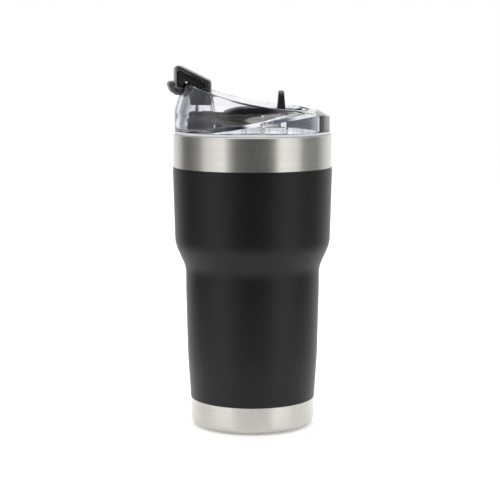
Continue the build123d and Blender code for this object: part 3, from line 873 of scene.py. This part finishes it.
def fin_point(x, y, z):
    half = FIN_WIDE - FIN_TAPER * (z - FIN_WIDE_Z) / (FIN_TOP - FIN_WIDE_Z)
    y = max(-half, min(half, y * half / FIN_Y))
    # round the upper corners seen along X
    over = abs(y) - (half - FIN_CORNER)
    if over > 0:
        cap = FIN_TOP - FIN_CORNER + math.sqrt(max(0.0, FIN_CORNER ** 2 - over * over))
        z = FIN_BASE + (z - FIN_BASE) * (cap - FIN_BASE) / (FIN_TOP - FIN_BASE)
    return x, y, z + RIM


def thumb_fin():
    section = outline([
        (FIN_X - FIN_BASE_HALF, FIN_BASE, 0), (FIN_X + FIN_BASE_HALF, FIN_BASE, 0),
        (FIN_X + FIN_TOP_HALF, FIN_TOP, 0.9), (FIN_X - FIN_TOP_HALF, FIN_TOP, 0.9)])
    ys = [-FIN_Y + 2 * FIN_Y * k / (FIN_STATIONS - 1) for k in range(FIN_STATIONS)]
    return skin([[fin_point(x, y, z) for x, z in section] for y in ys], flip=True)


add_piece("thumb_fin", thumb_fin(), "slide", BLACK)
fill_slots(nodes["slider_gate"].data, GATE)


# ------------------------------------------------------------------ rails and latch
def rounded_copy(piece, name, body, mat, edge, segments):
    """The CAD piece as a new mesh, with its edges rounded over by `edge`."""
    bm = bmesh.new()
    bm.from_mesh(nodes[piece].data)
    bmesh.ops.remove_doubles(bm, verts=bm.verts, dist=2e-6)
    bmesh.ops.recalc_face_normals(bm, faces=bm.faces)
    bmesh.ops.dissolve_limit(bm, angle_limit=math.radians(0.6), verts=bm.verts,
                             edges=bm.edges)
    edges = [e for e in bm.edges if len(e.link_faces) == 2
             and e.calc_face_angle(0.0) > math.radians(32.0)]
    bmesh.ops.bevel(bm, geom=edges, offset=edge * MM, offset_type="OFFSET",
                    segments=segments, profile=0.5, affect="EDGES", clamp_overlap=True)
    tidy(bm, 4e-6)
    bmesh.ops.recalc_face_normals(bm, faces=bm.faces)
    mesh = bpy.data.meshes.new(name)
    bm.to_mesh(mesh)
    bm.free()
    mesh.materials.clear()
    mesh.materials.append(mat)
    shade(mesh, 40)
    ob = link_object(name, mesh)
    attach(ob, body)
    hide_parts(piece)


rounded_copy("slide_rails", "rail_strips", "lid", SLIDER,
             edge=0.2, segments=2)
rounded_copy("latch", "latch_strap", "flip", STRAP, edge=0.6, segments=4)
rounded_copy("latch_core", "latch_block", "flip", DARK, edge=0.3, segments=2)

# ------------------------------------------------------------------ floor
scene = bpy.context.scene
scene.view_settings.view_transform = "Standard"
scene.view_settings.look = "None"
scene.view_settings.exposure = 0.0

FLOOR_HALF = 1.6


def floor_white(name):
    """White floor; in reflections it is bright near the foot and fades out further away."""
    mat, tree, shader = new_material(name)
    set_inputs(tree, shader, {
        "Base Color": (0.92, 0.92, 0.92, 1),
        "Roughness": 0.7,
        "Specular IOR Level": 0.15,
        "Emission Color": (1, 1, 1, 1),
        "Emission Strength": 0.25,
    })
    position = add_node(tree, "NewGeometry").outputs["Position"]
    distance = add_node(tree, "VectorMath", {0: position}, operation="LENGTH")
    solid = remap(tree, distance.outputs["Value"], to=(0.9, 0.0), over=(0.10, 0.40))
    ray = add_node(tree, "LightPath").outputs
    faded = math_node(tree, "SUBTRACT", 1.0, solid)
    indirect = math_node(tree, "MAXIMUM", ray["Is Glossy Ray"], ray["Is Transmission Ray"])
    fade = math_node(tree, "MULTIPLY", faded, indirect)
    clear = add_node(tree, "BsdfTransparent")
    mix = add_node(tree, "MixShader", {0: fade, 1: shader.outputs[0], 2: clear.outputs[0]})
    output = next(n for n in tree.nodes if n.type == "OUTPUT_MATERIAL")
    set_inputs(tree, output, {0: mix.outputs[0]})
    return mat


mesh = bpy.data.meshes.new("floor")
corners = [(x * FLOOR_HALF, y * FLOOR_HALF, 0) for x, y in ((-1, -1), (1, -1), (1, 1), (-1, 1))]
mesh.from_pydata(corners, [], [(0, 1, 2, 3)])
floor = link_object("floor", mesh)
mesh.materials.append(floor_white("floor_white"))

# ------------------------------------------------------------------ world
# panels round the mug: (degrees from -Y towards +X, brightness)
BANDS = [
    (-180, 0.98), (-146, 0.92), (-131, 0.68), (-119, 0.22), (-104, 0.165), (-84, 0.34),
    (-72, 0.94), (-54, 1.15), (-42, 1.26), (-34, 0.50), (-24, 0.135), (-4, 0.060),
    (6, 0.055), (24, 0.105), (33, 0.36), (40, 1.30), (52, 1.26), (70, 1.00),
    (79, 0.36), (94, 0.32), (108, 0.30), (124, 0.70), (146, 1.0), (180, 0.98),
]
# the same for rays through clear plastic, cooler and deeper: (degrees, (r, g, b))
COOL_BANDS = [
    (-180, (1.0, 1.0, 1.0)), (-176, (0.95, 0.96, 0.99)), (-170, (0.09, 0.11, 0.16)),
    (-163, (0.07, 0.09, 0.135)), (-157, (0.76, 0.80, 0.88)), (-136, (0.96, 0.98, 1.0)),
    (-124, (0.88, 0.92, 1.0)), (-114, (0.62, 0.68, 0.80)), (-96, (0.58, 0.64, 0.76)),
    (-84, (0.66, 0.70, 0.79)), (-62, (1.0, 1.0, 1.02)), (-46, (0.55, 0.57, 0.62)),
    (-32, (0.06, 0.07, 0.09)), (24, (0.06, 0.07, 0.09)), (38, (0.38, 0.41, 0.46)),
    (54, (1.02, 1.02, 1.04)), (78, (0.86, 0.88, 0.93)), (100, (0.80, 0.83, 0.90)),
    (129, (0.84, 0.87, 0.93)), (133, (0.003, 0.004, 0.008)), (147, (0.003, 0.004, 0.008)),
    (149.5, (0.14, 0.145, 0.16)), (156, (0.16, 0.17, 0.195)), (160, (0.020, 0.027, 0.045)),
    (176.3, (0.012, 0.017, 0.033)), (178, (0.92, 0.94, 0.98)), (180, (1.0, 1.0, 1.0)),
]


def by_degrees(stops):
    return [((degrees + 180.0) / 360.0, color) for degrees, color in stops]


def studio_world():
    world = bpy.data.worlds.new("studio")
    scene.world = world
    world.use_nodes = True
    tree = world.node_tree
    tree.nodes.clear()
    output = add_node(tree, "OutputWorld")
    coords = add_node(tree, "TexCoord").outputs["Generated"]
    direction = add_node(tree, "SeparateXYZ", {0: coords}).outputs
    front = math_node(tree, "MULTIPLY", direction["Y"], -1.0)
    azimuth = math_node(tree, "ARCTAN2", direction["X"], front)
    around = remap(tree, azimuth, to=(0.0, 1.0), over=(-math.pi, math.pi))
    warm_bands = [(degrees, (v, v, v * 0.995)) for degrees, v in BANDS]
    bands = ramp(tree, around, by_degrees(warm_bands))
    cool = ramp(tree, around, by_degrees(COOL_BANDS))
    through = add_node(tree, "LightPath").outputs["Is Transmission Ray"]
    color = mix_colors(tree, through, bands, cool)
    # pale overhead and underneath, plain white for the camera
    up = remap(tree, direction["Z"], to=(0.0, 1.0), over=(0.50, 0.85))
    color = mix_colors(tree, up, color, (1.05, 1.05, 1.05, 1))
    down = remap(tree, direction["Z"], to=(1.0, 0.0), over=(-0.75, -0.40))
    color = mix_colors(tree, down, color, (0.9, 0.9, 0.89, 1))
    seen = add_node(tree, "LightPath").outputs["Is Camera Ray"]
    color = mix_colors(tree, seen, color, (1.0, 1.0, 1.0, 1))
    background = add_node(tree, "Background", {"Color": color})
    set_inputs(tree, output, {0: background.outputs[0]})


studio_world()


# ------------------------------------------------------------------ light and camera
def area_light(name, location, target, size, power):
    light = bpy.data.lights.new(name, "AREA")
    light.shape = "RECTANGLE"
    light.size, light.size_y = size
    light.energy = power
    ob = link_object(name, light)
    ob.location = location
    ob.rotation_mode = "QUATERNION"
    ob.rotation_quaternion = (Vector(target) - Vector(location)).to_track_quat("-Z", "Y")
    ob.visible_camera = False


area_light("overhead", location=(0.0, 0.1, 1.3), target=(0, 0, 0.1), size=(1.4, 1.4),
           power=9.0)

CAMERA_TILT = 7.6245                       # degrees below level

lens = bpy.data.cameras.new("camera")
lens.sensor_width = 36.0
lens.lens = 108.65
lens.shift_x = -0.005
lens.clip_start, lens.clip_end = 0.01, 20.0
camera = link_object("camera", lens)
camera.location = (0.0, -0.86217, 0.21637)
camera.rotation_euler = (math.radians(90 - CAMERA_TILT), 0, 0)
scene.camera = camera
